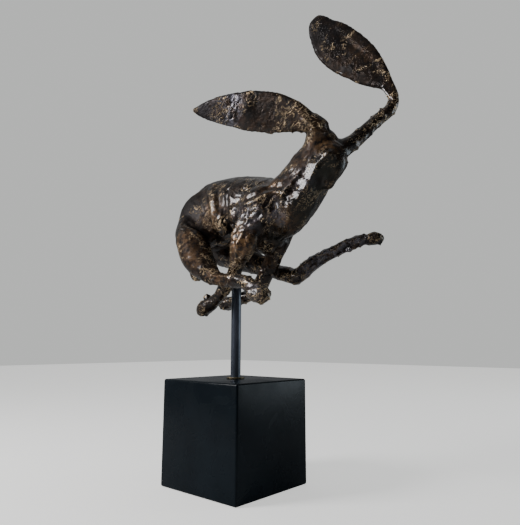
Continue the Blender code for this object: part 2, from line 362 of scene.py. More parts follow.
def make_bronze():
    made, tree, shader = new_material(
        "bronze_patina", Specular_IOR_Level=0.22, Coat_Roughness=COAT_ROUGHNESS
    )
    place = object_place(tree)
    names = ("worn", "recess", "warm", "green", "painted_sheen", "dull", "painted_shade")
    worn, recess, warm, green, painted_sheen, dull, painted_shade = (attribute(tree, name) for name in names)
    streaked = drawn_out(tree, place, STROKE_WAY, STROKE_DRAW)
    patchy = added(tree, product(tree, painted_shade, SHADE_PATCHINESS), PATCHINESS)
    marks = use_group(
        tree, WORM_MARKS, streaked, Marks_per_metre=MARKS_PER_M, Line_width=0.050, Patchiness=patchy
    )
    grain = use_group(tree, FINE_GRAIN, place, Grains_per_metre=900.0, Broad_share=0.3)
    relief = use_group(tree, FINE_GRAIN, streaked, Grains_per_metre=310.0, Broad_share=0.5)

    clouds = remap(tree, noise(tree, place, 130.0, 5.0, 0.7), 0.42, 0.62)
    warm_break = remap(tree, noise(tree, place, 210.0, 4.0, 0.65), 0.42, 0.60)
    sheen_break = remap(tree, noise(tree, place, 170.0, 5.0, 0.7, 0.8), 0.40, 0.56)
    colour = mixed(tree, clouds, BRONZE_DARK, BRONZE_BROWN)
    for share, break_up, over in (
        (warm, warm_break, BRONZE_WARM),
        # painted sheen, laid where the window's highlights fall
        (painted_sheen, sheen_break, BRONZE_PAINTED_SHEEN),
        # greenish patina and painted shade on the throat, cheeks and undersides
        (green, 0.85, BRONZE_GREEN_SHADE),
        # painted shade: near black laid on the ears, haunches, back, flank and feet
        (painted_shade, 0.85, BRONZE_DARK),
    ):
        colour = mixed(tree, product(tree, share, break_up), colour, over)
    colour = mixed(tree, recess, colour, BRONZE_DARK)

    rubbed = added(tree, product(tree, worn, 0.70), 0.30)
    flecks = product(tree, rubbed, FLECK_GAIN)
    flecks = product(tree, marks.outputs["Mask"], flecks, clamp=True)
    broken = remap(tree, noise(tree, place, 520.0, 4.0, 0.65), 0.50, 0.60)
    edges = product(tree, remap(tree, worn, 0.75, 1.0), broken)
    gold = math_node(tree, "MAXIMUM", flecks, product(tree, edges, EDGE_GAIN))
    for cover, share in ((recess, 1.0), (green, 0.7), (painted_sheen, 0.6)):
        bare = math_node(tree, "SUBTRACT", 1.0, product(tree, cover, share))
        gold = product(tree, gold, bare, clamp=True)
    colour = mixed(tree, gold, colour, BRONZE_GOLD)
    metallic = remap(tree, gold, 0.0, 1.0, CRUST_METALLIC, GOLD_METALLIC)

    rough = remap(tree, grain.outputs["Mask"], 0.0, 1.0, ROUGH_FROM, ROUGH_TO)
    rough = added(tree, rough, product(tree, gold, GOLD_ROUGHER))
    rough = added(tree, rough, product(tree, dull, DULL_ROUGHER), clamp=True)
    coat = remap(tree, dull, 0.0, 1.0, WAXED_COAT, DULL_COAT)
    fed(tree, shader, Base_Color=colour, Metallic=metallic, Roughness=rough, Coat_Weight=coat)
    height = product(tree, marks.outputs["Height"], 0.32)
    for group, share in ((grain, 0.10), (relief, 0.85)):
        height = added(tree, height, product(tree, group.outputs["Height"], share))
    bump(tree, shader, height, BRONZE_BUMP)
    return made


BRONZE = make_bronze()
print("material", BRONZE.name)

# %% [markdown]
# ## The hare's surface
# The real figure was modelled in wax or clay: small pellets were pressed on and partly
# smoothed, and longer strokes of a tool cut planes, folds and creases. Sculpting by hand
# in Blender would do it, but could not be repeated from a script. Here a copy of the
# casting gets a few lumps where toes, a foreleg and the tail are fuller. A voxel Remesh
# melts them in, and easing rounds the facets off without letting thin limbs shrink.

# %% A smooth copy of the casting
SMOOTH_GRAIN = 1.4 * MM
SKIN_GRAIN = 1.2 * MM
EASE_IN, EASE_OUT = 0.50, -0.52
CASTING_EASED, SKIN_EASED = 14, 4


def read_rows(items, field, width, kind=float):
    """One field of a mesh's vertices or edges, as the rows of an array."""
    flat = np.empty(len(items) * width, dtype=kind)
    items.foreach_get(field, flat)
    return flat.reshape(-1, width)


def vertex_array(mesh):
    return read_rows(mesh.vertices, "co", 3)


def surface_normals(mesh):
    return read_rows(mesh.vertices, "normal", 3)


def edge_array(mesh):
    return read_rows(mesh.edges, "vertices", 2, np.int64)


def write_vertices(mesh, points):
    mesh.vertices.foreach_set("co", points.ravel())
    mesh.update()


def ring_mean(values, edges, count):
    """The mean of each vertex's neighbours."""
    total = np.zeros_like(values)
    np.add.at(total, edges[:, 0], values[edges[:, 1]])
    np.add.at(total, edges[:, 1], values[edges[:, 0]])
    held = np.bincount(edges.ravel(), minlength=count).astype(float)
    held = np.maximum(held, 1.0)
    return total / (held[:, None] if values.ndim == 2 else held)


def relaxed(points, edges, times, share):
    """Moves each point a share of the way to the mean of its neighbours, some times over."""
    for _ in range(times):
        points = points + (ring_mean(points, edges, len(points)) - points) * share
    return points


def eased(points, edges, times):
    """Smooths, and pushes back out each time, so that thin limbs don't shrink."""
    for _ in range(times):
        for share in (EASE_IN, EASE_OUT):
            points = relaxed(points, edges, 1, share)
    return points


def remeshed(obj, grain):
    skin = obj.modifiers.new("one_skin", "REMESH")
    skin.mode = "VOXEL"
    skin.voxel_size = grain
    skin.use_smooth_shade = True
    return made_plain(obj)


def copy_of_node(node, name):
    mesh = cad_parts[node].data.copy()
    mesh.materials.clear()
    with cage_of(mesh) as cage:
        bmesh.ops.remove_doubles(cage, verts=cage.verts, dist=WELD)
    return add_object(name, mesh)


LUMPS = [
    # centre in millimetres from the mouth of the rod's socket, radii, and how far the top
    # leans forward, in degrees
    ((-27.5, -14.5, -59.5), (4.6, 4.0, 4.4), 0),
    ((64, -38, -62), (11.5, 8.0, 8.6), 32),
    ((-32, 20, -61.5), (13, 6.4, 6.6), -8),
    ((-9, 20, -57.5), (15, 6.4, 6.6), -8),
    ((37, -23, -13), (8.0, 8.0, 18), 27),
    ((33, -27.5, -10), (6.0, 6.2, 18), 24),
    ((-74, 6, -26), (4.6, 4.0, 8.5), -8),
]


def add_lumps(mesh):
    with cage_of(mesh) as cage:
        for centre, radii, lean in LUMPS:
            here = Matrix.Translation(BELLY + Vector(centre) * MM)
            leaning = Matrix.Rotation(math.radians(lean), 4, "Y")
            sized = Matrix.Diagonal((*(Vector(radii) * MM), 1.0))
            matrix = here @ leaning @ sized
            bmesh.ops.create_icosphere(cage, subdivisions=3, radius=1.0, matrix=matrix)


def ease_mesh(mesh, times):
    write_vertices(mesh, eased(vertex_array(mesh), edge_array(mesh), times))


hare = copy_of_node("hare", "hare_bronze")
add_lumps(hare.data)
remeshed(hare, SMOOTH_GRAIN)
ease_mesh(hare.data, CASTING_EASED)
print("smooth copy", len(hare.data.vertices), "vertices")

# %% [markdown]
# ### Wax pellets
# Geometry Nodes scatter the pellets: Distribute Points on Faces gives places and turns,
# and each place takes a flattened ball. The tree's inputs are how many pellets there are
# to a square metre, their size and a seed. The attribute `pelleted` keeps them off the
# ears and off the cheeks and haunches, which were rubbed smooth. A second Remesh makes
# one skin of it all.

# %% The pellet tree
PELLETS_PER_M2 = 18000.0
PELLET_SIZE = 3.2 * MM
PELLET_SEED = 11
PELLET_LEAST, PELLET_MOST = (0.9, 0.32, 0.09), (2.3, 0.70, 0.16)


def geometry_tree(name, **inputs):
    """A tree for a modifier, which takes geometry and other inputs and puts out geometry."""
    tree = bpy.data.node_groups.new(name, "GeometryNodeTree")
    tree.is_modifier = True
    face = tree.interface
    for label, kind in {"Geometry": "Geometry", **inputs}.items():
        face.new_socket(label.replace("_", " "), in_out="INPUT", socket_type="NodeSocket" + kind)
    face.new_socket("Geometry", in_out="OUTPUT", socket_type="NodeSocketGeometry")
    return tree, new_node(tree, "NodeGroupInput").outputs, new_node(tree, "NodeGroupOutput")


def make_pellet_tree():
    tree, given, out = geometry_tree(
        "wax_pellets", Pellets_per_square_metre="Float", Pellet_size="Float", Seed="Int"
    )
    geometry, seed = given["Geometry"], given["Seed"]
    where = new_node(tree, "GeometryNodeInputNamedAttribute", Name="pelleted")
    thick = product(tree, given["Pellets per square metre"], where.outputs["Attribute"])
    scatter = new_node(tree, "GeometryNodeDistributePointsOnFaces", Mesh=geometry)
    fed(tree, scatter, Density=thick, Seed=seed)

    ball = new_node(tree, "GeometryNodeMeshIcoSphere", Radius=1.0, Subdivisions=2)
    size = new_node(tree, "FunctionNodeRandomValue", Seed=seed)
    size.data_type = "FLOAT_VECTOR"
    size.inputs[0].default_value = PELLET_LEAST
    size.inputs[1].default_value = PELLET_MOST
    sized = vector_node(tree, "SCALE", size.outputs["Value"], given["Pellet size"])
    spin = new_node(tree, "FunctionNodeRandomValue", Seed=seed)
    spin.data_type = "FLOAT"
    spin.inputs[2].default_value = 0.0
    spin.inputs[3].default_value = 2 * math.pi
    about = new_node(tree, "FunctionNodeAxisAngleToRotation", Axis=(0, 0, 1))
    fed(tree, about, Angle=spin.outputs["Value"])
    turn = new_node(tree, "FunctionNodeRotateRotation", Rotation=scatter.outputs["Rotation"])
    turn.rotation_space = "LOCAL"
    fed(tree, turn, Rotate_By=about.outputs["Rotation"])

    pressed = new_node(
        tree,
        "GeometryNodeInstanceOnPoints",
        Points=scatter.outputs["Points"],
        Instance=ball.outputs["Mesh"],
        Rotation=turn.outputs["Rotation"],
        Scale=sized.outputs["Vector"],
    )
    real = new_node(tree, "GeometryNodeRealizeInstances", Geometry=pressed.outputs["Instances"])
    both = new_node(tree, "GeometryNodeJoinGeometry", Geometry=geometry)
    fed(tree, both, Geometry=real.outputs["Geometry"])
    fed(tree, out, Geometry=both.outputs["Geometry"])
    return tree


def run_tree(obj, tree, **values):
    """Gives a Geometry Nodes modifier its inputs by identifier, then makes it plain."""
    grown = obj.modifiers.new(tree.name, "NODES")
    grown.node_group = tree
    for item in tree.interface.items_tree:
        label = item.name.replace(" ", "_")
        if item.in_out == "INPUT" and label in values:
            grown[item.identifier] = values[label]
    return made_plain(obj)


# %% Where the pellets go
NEAR_EAR_ROOT, NEAR_EAR_TIP = Vector((98, -22, 98)), Vector((-6, -59, 125))
FAR_EAR_ROOT, FAR_EAR_TIP = Vector((158, 46, 122)), Vector((86, 22, 226))
EAR_REACH = 27
EAR_FADE = 12
EARS_ABOVE = 92
SPOT_SPREAD = 1.3


def in_shares(points):
    """Metres in the frame to millimetres from the mouth of the hare's socket."""
    return (points - np.array(BELLY)) / MM


def in_metres(shares):
    return shares * MM + np.array(BELLY)


def along(shares, root, tip):
    """How far along a line each point is, from 0 to 1, and how far off it."""
    root, tip = np.array(root), np.array(tip)
    run = tip - root
    share = np.clip((shares - root) @ run / (run @ run), 0, 1)
    off = np.linalg.norm(shares - root - share[:, None] * run, axis=1)
    return share, off


def ear_mask(shares):
    """1 on the blades of the two ears, fading out at their roots."""
    mask = np.zeros(len(shares))
    for root, tip in ((NEAR_EAR_ROOT, NEAR_EAR_TIP), (FAR_EAR_ROOT, FAR_EAR_TIP)):
        share, off = along(shares, root, tip)
        mask = np.maximum(mask, (off < EAR_REACH) * np.clip(share * EAR_FADE, 0, 1))
    mask[shares[:, 2] < EARS_ABOVE] = 0
    return mask


def add_attribute(mesh, name, values):
    made = mesh.attributes.new(name, "FLOAT", "POINT")
    made.data.foreach_set("value", values.astype(np.float32))


def spotted(shares, spots):
    """Soft round spots, each strongest at its own centre."""
    value = np.zeros(len(shares))
    for *centre, radius, strength in spots:
        off = np.linalg.norm(shares - np.array(centre, float), axis=1) / radius
        value = np.maximum(value, strength * np.clip(SPOT_SPREAD - off, 0, 1))
    return value


SMOOTH_SPOTS = [
    # x, y, z, radius, strength
    (116, -8, 48, 15, 1.0), (116, 8, 48, 15, 1.0), (104, 0, 28, 16, 0.9), (68, -19, 10, 12, 0.8),
    (68, 19, 10, 12, 0.8), (-52, -26, 38, 24, 0.8), (-52, 26, 38, 24, 0.8), (-20, 0, 66, 26, 0.6),
    (-10, -26, 30, 14, 0.5), (-10, 26, 30, 14, 0.5),
]

start = in_shares(vertex_array(hare.data))
rough_skin = 1.0 - ear_mask(start) - spotted(start, SMOOTH_SPOTS)
add_attribute(hare.data, "pelleted", np.clip(rough_skin, 0, 1))
run_tree(
    hare,
    make_pellet_tree(),
    Pellets_per_square_metre=PELLETS_PER_M2,
    Pellet_size=PELLET_SIZE,
    Seed=PELLET_SEED,
)
print("casting and pellets", len(hare.data.polygons), "faces")
remeshed(hare, SKIN_GRAIN)
ease_mesh(hare.data, SKIN_EASED)
print("one skin", len(hare.data.vertices), "vertices")

# %% [markdown]
# ### Strokes of the tool
# Each stroke is a path over the skin, in millimetres from the mouth of the rod's socket,
# with a half width and a depth: a depth below 0 presses a groove, and above 0 raises a
# ridge. A stroke only moves skin that faces the way its path does, so it does not reach
# the other side of an ear. Strips and flats are what a knife leaves. A strip draws the
# skin on to a row of narrow planes, and a flat takes off what stands above a plane. The
# picture shows most of them white, so they are turned to send the window's light to the
# camera. Strips and flats are all repeated on the hidden side.

# %% Stroke helpers
FACING_POINTS = 12
FACING_GAIN = 1.6
# a cut is this much longer than it is wide
CUT_STRETCH = 2.1
CUT_RIM = 0.4
CUT_FACING = 0.3
CUT_REACH = 12


def distance_to_path(points, path):
    """How far each point is from a path."""
    return np.min([along(points, *ends)[1] for ends in zip(path, path[1:])], axis=0)


def path_facing(points, normals, path):
    """The mean way that the skin faces along a path."""
    ways = []
    for place in path:
        close = np.argsort(((points - place) ** 2).sum(1))[:FACING_POINTS]
        ways.append(normals[close].mean(0))
    way = np.mean(ways, 0)
    return way / np.linalg.norm(way)


def smooth_path(path, steps=5):
    """Catmull-Rom points through the path's own."""
    path = [np.array(p, float) for p in path]
    last = len(path) - 1
    out = []
    for i in range(last):
        a, b, c, d = path[max(i - 1, 0)], path[i], path[i + 1], path[min(i + 2, last)]
        linear, square, cube = c - a, 2 * a - 5 * b + 4 * c - d, 3 * b - a - 3 * c + d
        for step in range(steps):
            t = step / steps
            out.append(0.5 * (2 * b + linear * t + square * t**2 + cube * t**3))
    out.append(path[-1])
    return out


def stroke(points, normals, path, half_width, depth):
    path = smooth_path(path)
    fall = np.clip(1 - (distance_to_path(points, path) / half_width) ** 2, 0, 1) ** 2
    facing = np.clip(normals @ path_facing(points, normals, path) * FACING_GAIN, 0, 1)
    return points + normals * (depth * fall * facing)[:, None]


def plane_cut(points, normals, centre, facing, run, radius, depth):
    """Takes off what stands above a flat that lies depth under centre and is long along run."""
    facing = facing / np.linalg.norm(facing)
    run = run - (run @ facing) * facing
    run = run / np.linalg.norm(run)
    local = points - centre
    above = local @ facing + depth
    off = np.hypot(local @ run / CUT_STRETCH, local @ np.cross(facing, run))
    take = np.where((above > 0) & (normals @ facing > CUT_FACING), above, 0.0)
    take *= np.clip((radius - off) / (CUT_RIM * radius), 0, 1)
    take[np.abs(above) > CUT_REACH] = 0
    return points - facing * take[:, None]


def other_side(path):
    return [(x, -y, z) for x, y, z in path]


# %% The knife's flats
# a flat shows white where it faces halfway between the camera and the window
WINDOW = Vector((-0.436, -0.749, 0.595))
# a strip draws skin that lies less than its reach away, over so many half widths
STRIP_REACH = 5
STRIP_WIDTHS = (1.0, 1.5)
STRIP_RIM = 0.3
STRIP_FACING = 0.2
# a cut is left out where the skin has strayed this far from it, in millimetres, and
# takes its own facing from a patch of this radius
STRAY = 6
PATCH = 3
RUN_SCATTER, FACING_SCATTER = 0.4, 0.03
CUT_DEPTHS = (0.1, 0.5)
STRIPS = [
    # half width, share of the way that the skin is drawn, path
    (2.4, 1.0, [(124.5, -16.2, 61.5), (119.5, -16.1, 57.5), (113.5, -16, 53.5), (107, -16, 48)]),
    (5.4, 1.0, [
        (108, -15.9, 52), (103, -16.1, 46.5), (97, -16.6, 40), (90, -17.4, 32), (83, -18.6, 25),
        (77, -19.8, 20),
    ]),
    (4.2, 0.4, [(45, -49.5, 131), (39, -48.5, 120), (33, -46, 106)]),
    (2.2, 1.0, [(150, 39.5, 134), (154, 40.3, 128), (158, 41, 121), (157, 40, 116)]),
]
FLATS = [
    # half width, cuts, least and most size, how far the cuts turn to the window, path
    (5.0, 10, (1.4, 2.8), 0.97, [
        (112, -13, 55), (105, -15, 49), (99, -17, 42), (93, -19, 35), (86, -20, 28),
        (79, -21, 24),
    ]),
    (6.0, 30, (1.8, 3.6), 0.85, [
        (29, -31, 6), (36, -31, 9), (43, -30, 11), (50, -28, 13), (56, -26, 17),
    ]),
    (4.0, 10, (1.6, 2.8), 0.8, [(62, -25, 24), (69, -24, 30)]),
    (3.5, 12, (1.6, 3.0), 0.8, [(17, -25, 22), (24, -25, 27), (32, -27, 30)]),
    (5.0, 14, (1.6, 3.0), 0.7, [(54, -43, -54), (62, -45, -58), (68, -44, -61)]),
    (3.8, 70, (1.5, 2.8), 0.92, [
        (62, 31, -36), (74, 33, -28), (88, 35, -21), (101, 38, -17), (114, 40, -13),
        (130, 43, -8),
    ]),
    (4.5, 20, (1.4, 2.6), 0.75, [(30, -33, -2), (29, -33, -12), (27, -31, -24)]),
    (4.0, 14, (1.6, 3.0), 0.2, [(-16, -42, -26), (4, -41, -40), (26, -41, -46)]),
    (3.5, 6, (1.0, 1.7), 0.9, [(44, -50, 130), (38, -48, 120), (32, -45, 106)]),
    (4.0, 14, (1.0, 1.8), 0.8, [(98, -15, 66), (90, -17, 56), (82, -19, 46), (74, -20, 36)]),
]


def catching(place):
    """The facing of a flat at a place, in shares, that sends the window's light to the camera."""
    here = BELLY + Vector(place) * MM
    return np.array(((VIEW_FROM - here).normalized() + (WINDOW - here).normalized()).normalized())


def flatten_strip(points, normals, rng, half_width, drawn, path, side):
    """Draws the skin on to a row of narrow flats along a path, as a flat knife does."""
    path = smooth_path(path, 3)
    mirror = np.array((1, side, 1))
    out = points.copy()
    for start, end in zip(path, path[1:]):
        up = catching(start) * mirror
        start, end = start * mirror, end * mirror
        length = np.linalg.norm(end - start)
        run = (end - start) / length
        local = points - start
        share, above = local @ run, local @ up
        off = np.abs(local @ np.cross(run, up))
        here = (share >= 0) & (share < length)
        here &= (normals @ up > STRIP_FACING) & (np.abs(above) < STRIP_REACH)
        reach = half_width * rng.uniform(*STRIP_WIDTHS)
        hold = drawn * np.clip((reach - off) / (STRIP_RIM * half_width), 0, 1)
        out[here] -= (up * (above * hold)[:, None])[here]
    return out


def cut_flats(mesh, points, rng, half_width, cuts, sizes, turn, path, side):
    normals = surface_normals(mesh)
    path = np.array(smooth_path(path))
    mirror = np.array((1, side, 1))
    for _ in range(cuts):
        step = rng.integers(len(path) - 1)
        place = path[step]
        run = (path[step + 1] - place) * mirror + rng.normal(0, RUN_SCATTER, 3)
        aim = (place + rng.uniform(-1, 1, 3) * half_width) * mirror
        apart = ((points - aim) ** 2).sum(1)
        if apart.min() > STRAY**2:
            continue
        own = normals[apart < apart.min() + PATCH**2].mean(0)
        facing = own * (1 - turn) + catching(place) * mirror * turn
        facing = facing + rng.normal(0, FACING_SCATTER, 3)
        radius, depth = rng.uniform(*sizes), rng.uniform(*CUT_DEPTHS)
        points = plane_cut(points, normals, points[apart.argmin()], facing, run, radius, depth)
    return points


# %% The strokes
SIDES = (1, -1)
SOOTHINGS = 14
STROKES = [
    # name, half width, depth, whether it is repeated on the other side, path
    ("neck_edge", 10.0, 3.0, True, [
        (120, -11, 57), (113, -11, 51), (106, -13, 45), (101, -13, 37), (96, -14, 32),
        (89, -16, 25), (82, -18, 20),
    ]),
    ("throat_hollow", 9.0, -0.8, True, [(118, -9, 50), (110, -7, 38), (104, -6, 26)]),
    ("neck_hollow", 10.0, -3.2, True, [
        (69, -22, 24), (70, -20, 15), (68, -17, 6), (61, -12, -2),
    ]),
    ("blade_ridge", 3.6, 1.0, True, [
        (38, -29, 25), (49, -29, 27), (57, -26, 30), (64, -23, 33), (73, -21, 32),
    ]),
    ("blade_groove", 5.0, -1.2, True, [
        (41, -28, 31), (52, -26, 34), (59, -22, 39), (74, -20, 39),
    ]),
    ("flank_ridge", 4.6, 1.5, True, [
        (-20, -23, 51), (-13, -27, 40), (-9, -28, 28), (-9, -26, 18), (-14, -17, 8),
    ]),
    ("flank_groove", 5.0, -1.4, True, [
        (-12, -23, 54), (-3, -26, 40), (-1, -26, 26), (-4, -22, 14),
    ]),
    ("lobe_front", 5.0, -1.3, True, [(8, -22, 46), (11, -25, 32), (11, -23, 18), (6, -15, 6)]),
    ("haunch_groove", 5.0, -0.5, True, [
        (-34, -24, 56), (-26, -29, 42), (-21, -31, 28), (-22, -28, 16),
    ]),
    ("haunch_crease", 4.4, -2.6, True, [
        (-62, -22, 22), (-48, -31, 20), (-35, -34, 16), (-26, -27, 10), (-20, -18, 3),
    ]),
    ("shin_ridge", 3.6, 0.7, False, [
        (-16, -40, -22), (-4, -40, -34), (10, -39, -42), (28, -40, -45),
    ]),
    ("fore_flute_a", 3.2, 1.0, False, [
        (34, -33, 2), (33, -33, -6), (31, -32, -15), (27, -30, -27),
    ]),
    ("fore_flute_c", 3.0, 0.8, False, [
        (46, -26, -2), (42, -27, -9), (37, -27, -17), (31, -27, -28),
    ]),
    ("fore_back", 3.2, -1.0, False, [(26, -30, 0), (24, -30, -10), (22, -30, -22)]),
    ("elbow_crease", 4.0, -1.2, True, [
        (13, -22, 12), (24, -29, 4), (35, -32, 1), (45, -28, 0), (53, -20, 4),
    ]),
    ("spine", 6.0, 0.7, False, [
        (-60, 0, 42), (-34, 0, 64), (-8, 0, 69), (20, 0, 64), (44, 0, 56), (64, 0, 62),
    ]),
    ("eye_socket", 4.2, -1.4, True, [(122, -8, 48), (121, -6, 43), (120, -5, 39)]),
    ("brow", 4.4, 0.9, True, [(112, -14, 64), (119, -13, 62), (125, -10, 57)]),
    ("muzzle", 2.8, -1.0, False, [(122, 1, 50), (120, 1, 43), (116, 1, 38)]),
    ("near_ear_root", 5.0, 1.0, False, [(112, -19, 80), (110, -24, 88), (102, -26, 95)]),
    ("near_ear_turn", 12.0, 1.5, False, [(54, -34, 134), (50, -42, 114), (46, -48, 96)]),
    ("far_ear_roll", 4.4, 1.2, False, [
        (155, 44, 134), (152, 43, 152), (144, 40, 168), (134, 36, 183), (118, 31, 201),
    ]),
    ("far_ear_roll_in", 6.0, -0.7, False, [
        (148, 40, 148), (143, 38, 160), (133, 35, 175), (120, 31, 190), (108, 27, 205),
    ]),
    ("near_toe_cleft", 2.0, -0.7, False, [
        (52, -38, -52), (60, -38, -56), (68, -38, -60), (72, -37, -66),
    ]),
    ("far_toe_cleft", 2.0, -1.4, False, [(124, 48, -3), (132, 49, -2), (140, 50, -5)]),
]
SOOTHED_SPOTS = [
    (90, -28, 107, 16, 1.5), (94, -26, 98, 14, 1.5), (116, -8, 46, 14, 1.2),
    (116, 8, 46, 14, 1.2),
]


def soothed(mesh, points):
    """Smooths the skin again in a few places only."""
    share = np.clip(spotted(points, SOOTHED_SPOTS), 0, 1)[:, None] * 0.5
    return relaxed(points, edge_array(mesh), SOOTHINGS, share)


def sculpt_hare(mesh):
    points = in_shares(vertex_array(mesh))
    for _, half_width, depth, twice, path in STROKES:
        normals = surface_normals(mesh)
        points = stroke(points, normals, path, half_width, depth)
        if twice:
            points = stroke(points, normals, other_side(path), half_width, depth)
        write_vertices(mesh, in_metres(points))
    points = soothed(mesh, points)
    write_vertices(mesh, in_metres(points))
    rng = np.random.default_rng(5)
    normals = surface_normals(mesh)
    for strip in STRIPS:
        for side in SIDES:
            points = flatten_strip(points, normals, rng, *strip, side)
    write_vertices(mesh, in_metres(points))
    for flats in FLATS:
        for side in SIDES:
            points = cut_flats(mesh, points, rng, *flats, side)
        write_vertices(mesh, in_metres(points))


sculpt_hare(hare.data)
print("strokes", ", ".join(name for name, *_ in STROKES))
print(sum(cuts for _, cuts, *_ in FLATS), "flats on each side")

# %% [markdown]
# ### Proud and sunk
# A point is proud when it stands above the mean of its neighbours along its own normal,
# and sunk when it lies below. Averaging over a few rings of neighbours first gives
# ridges and creases of different widths.

# %% Worn and recess attributes
SETTLING = 0.25
FINE_RINGS, WIDE_RINGS = 3, 16
STRONG_BULGE = 90


def bulge(points, normals, edges, rings):
    """How far each point stands above its surroundings, smoothed over rings."""
    broad = points
    for _ in range(rings):
        broad = ring_mean(broad, edges, len(points))
    return ((points - broad) * normals).sum(1)


# warm patina spots, and spots of painted shade and painted sheen
PATINA_AND_PAINTED_LIGHT_SPOTS = {
    "warm": [
        (32, -30, -12, 20, 1.1), (32, 30, -12, 20, 0.6), (-12, -27, 26, 16, 0.9),
        (-12, 27, 26, 16, 0.8), (90, -8, 58, 16, 0.5), (86, 12, 54, 16, 0.5),
        (62, -16, 42, 14, 0.6), (-34, -44, 0, 20, 0.55), (84, -30, 104, 26, 0.3),
        (126, 32, 168, 26, 0.25), (76, -15, 4, 16, 0.6), (100, 42, -14, 22, 0.3),
        (18, 0, 64, 24, 0.4), (-40, 0, 56, 24, 0.4), (40, 14, -20, 14, 0.4),
        (119, -11, 69, 12, 0.9), (-18, -42, -22, 16, 0.45), (14, -40, -44, 16, 0.5),
        (110, -20, 80, 12, 0.6),
    ],
    # greenish patina, and painted shade on the throat, cheeks, chest and undersides
    "green": [
        (116, -8, 50, 15, 1.0), (116, 8, 50, 15, 0.8), (106, -5, 30, 12, 0.9),
        (90, -3, 10, 14, 0.8), (98, -8, 18, 14, 0.8), (-46, -40, 8, 12, 0.5),
        (-48, 38, 8, 14, 0.5), (60, -10, -8, 14, 0.5),
    ],
    # painted sheen on the ear's bright band, the neck band, shoulder, shin and foot
    "painted_sheen": [
        (24, -53, 118, 24, 0.4), (36, -48, 112, 9, 1.3), (40, -49, 124, 9, 1.3),
        (33, -46, 105, 8, 1.1), (6, -58, 124, 16, 0.4), (68, -19, 13, 10, 0.7),
        (68, -22, 22, 9, 0.5), (64, 32, -36, 10, 0.9), (-48, 30, 34, 18, 0.2),
        (68, 19, 13, 10, 0.7), (42, -30, 11, 14, 0.7), (26, -25, 27, 9, 0.7),
        (98, -17, 41, 14, 0.5), (110, -14, 54, 10, 0.5), (92, 21, 208, 14, 0.3),
        (64, -44, -59, 10, 0.5), (74, 33, -28, 11, 1.4), (90, 36, -20, 11, 1.4),
        (106, 39, -15, 10, 1.3), (120, 42, -10, 8, 0.9),
    ],
    # painted shade on the ears, haunches, back, flank, paw and far toe
    "painted_shade": [
        (84, -30, 104, 22, 0.8), (66, -38, 112, 16, 0.7), (104, 27, 180, 32, 0.7),
        (88, 21, 206, 24, 1.1), (134, 36, 152, 22, 0.6), (-44, -30, 36, 28, 1.1),
        (-44, 30, 36, 26, 0.6), (-10, 0, 66, 44, 0.8), (92, -12, 62, 16, 0.5),
        (-24, -26, -68, 14, 0.7), (136, 44, -9, 14, 0.7), (0, -26, 40, 14, 0.5),
        (4, -58, 124, 18, 0.9), (20, 0, 60, 26, 0.8),
    ],
}
DULL_SPOTS = [
    (85, 21, 208, 8, 1.3), (86, 21, 198, 8, 1.3), (88, 22, 186, 8, 1.3), (95, 24, 176, 8, 1.3),
    (104, 27, 166, 8, 1.2), (116, 31, 156, 8, 1.2), (128, 34, 147, 8, 1.0), (112, 0, 36, 14, 0.3),
    (-40, -30, 38, 24, 1.4), (-50, 30, 36, 24, 0.95), (0, -26, 38, 14, 0.6),
    (0, 26, 38, 17, 0.75), (8, 27, -12, 14, 1.2), (-20, 0, 66, 30, 0.5), (97, -26, 98, 11, 1.1),
    (88, -30, 108, 8, 0.8), (-28, -27, 44, 14, 0.9), (20, 0, 64, 20, 0.6), (80, -26, 96, 10, 0.6),
    (2, -60, 124, 16, 1.3), (20, -55, 119, 10, 1.0), (-26, -43, -12, 14, 1.2),
    (-14, -41, -26, 12, 1.2), (0, -40, -38, 12, 1.1), (14, -40, -44, 12, 1.0),
    (-36, -45, -2, 14, 1.0), (94, -16, 60, 12, 0.9), (80, -19, 44, 10, 0.9),
    (105, -15, 68, 10, 0.9), (136, 44, -9, 12, 0.9), (-22, -26, -70, 12, 0.8),
    (114, -12, 70, 8, 0.8), (-22, -28, 40, 12, 1.0),
]


def settle_hare(mesh):
    edges = edge_array(mesh)
    points = relaxed(vertex_array(mesh), edges, 1, SETTLING)
    write_vertices(mesh, points)
    normals = surface_normals(mesh)
    fine = bulge(points, normals, edges, FINE_RINGS)
    wide = bulge(points, normals, edges, WIDE_RINGS)
    fine = fine / np.percentile(np.abs(fine), STRONG_BULGE)
    wide = wide / np.percentile(np.abs(wide), STRONG_BULGE)
    shares = in_shares(points)
    ears = ear_mask(shares)
    worn = np.clip(0.5 + 0.35 * fine + 0.20 * wide, 0, 1)
    worn = np.clip(worn - 0.22 * ears, 0, 1)
    recess = np.clip(-0.55 * fine - 0.45 * wide - 0.35, 0, 1) * (1 - 0.6 * ears)
    add_attribute(mesh, "worn", ring_mean(worn, edges, len(points)))
    add_attribute(mesh, "recess", ring_mean(recess, edges, len(points)))
    for name, spots in PATINA_AND_PAINTED_LIGHT_SPOTS.items():
        add_attribute(mesh, name, spotted(shares, spots))
    dull = np.clip(spotted(shares, DULL_SPOTS), 0, 1)
    add_attribute(mesh, "dull", np.maximum(recess, dull))


settle_hare(hare.data)
hare.data.shade_smooth()
finished(hare, "hare", BRONZE)

# %% [markdown]
# ## The rod
# A drawn steel bar, blacked and wiped with oil. A cylinder primitive would show its
# facets, so its profile is turned with a Screw modifier, chamfers and all.

# %% Rod
ROD_RADIUS = (ROD_HIGH.x - ROD_LOW.x) / 2
ROD_CHAMFER = 0.6 * MM
TURNING_STEPS = 72
ROD_DARK, ROD_PALE = (0.056, 0.068, 0.092), (0.100, 0.116, 0.148)
ROD_BUMP = 0.06 * MM


